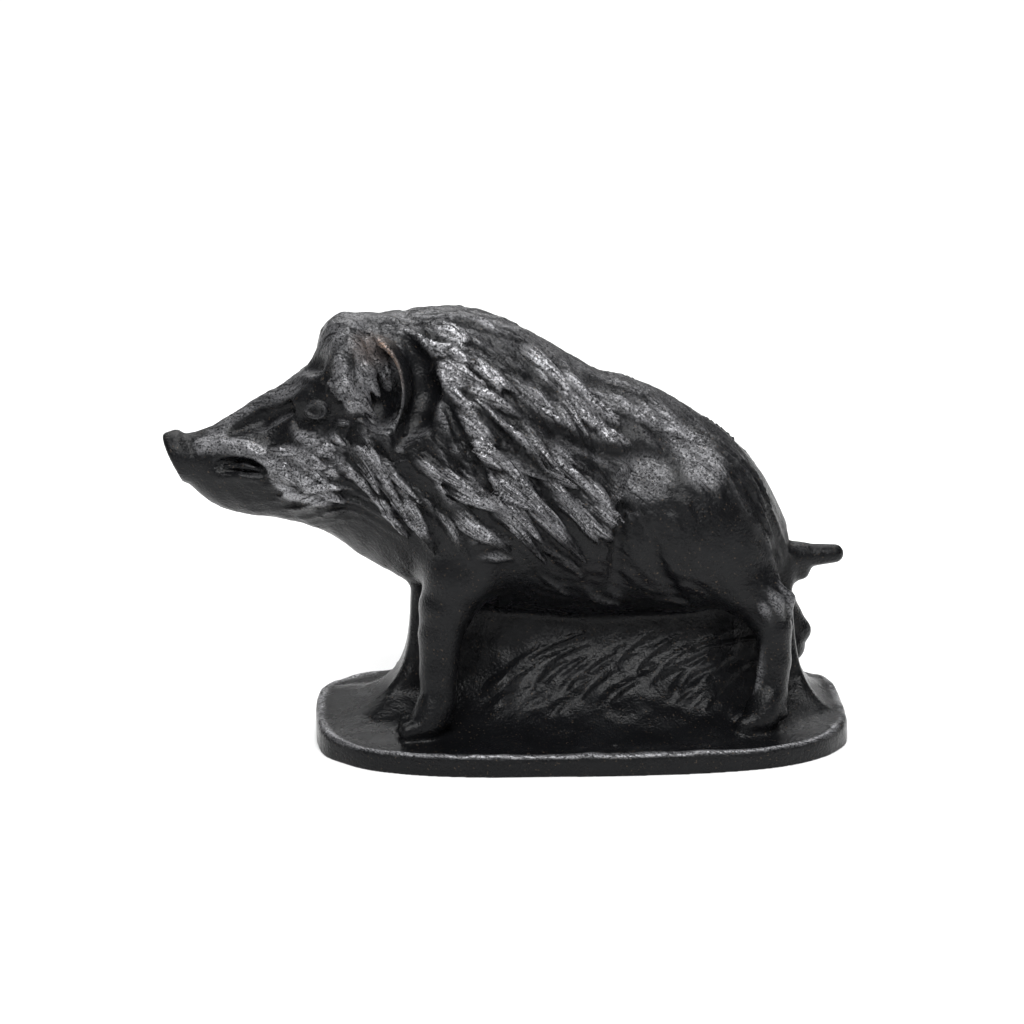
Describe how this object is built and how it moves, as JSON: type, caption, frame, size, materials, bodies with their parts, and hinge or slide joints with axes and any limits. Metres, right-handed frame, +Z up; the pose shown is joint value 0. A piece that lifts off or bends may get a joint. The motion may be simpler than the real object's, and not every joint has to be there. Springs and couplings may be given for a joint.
{
  "type": "boar figurine",
  "caption": "Cast-iron figurine of a standing wild boar with a shaggy mane, cast in one piece with its rounded base.",
  "frame": {"origin": "middle of the base's flat underside", "axes": "+Z up, the boar faces -X, its left side faces -Y"},
  "size_m": [0.1658, 0.072, 0.1068],
  "materials": {
    "black_cast_iron": "black lacquered cast iron, satin, with a fine sand-cast grain and wear along the edges"
  },
  "bodies": {
    "root": {"boar_and_base": "black_cast_iron"}
  },
  "joints": []
}
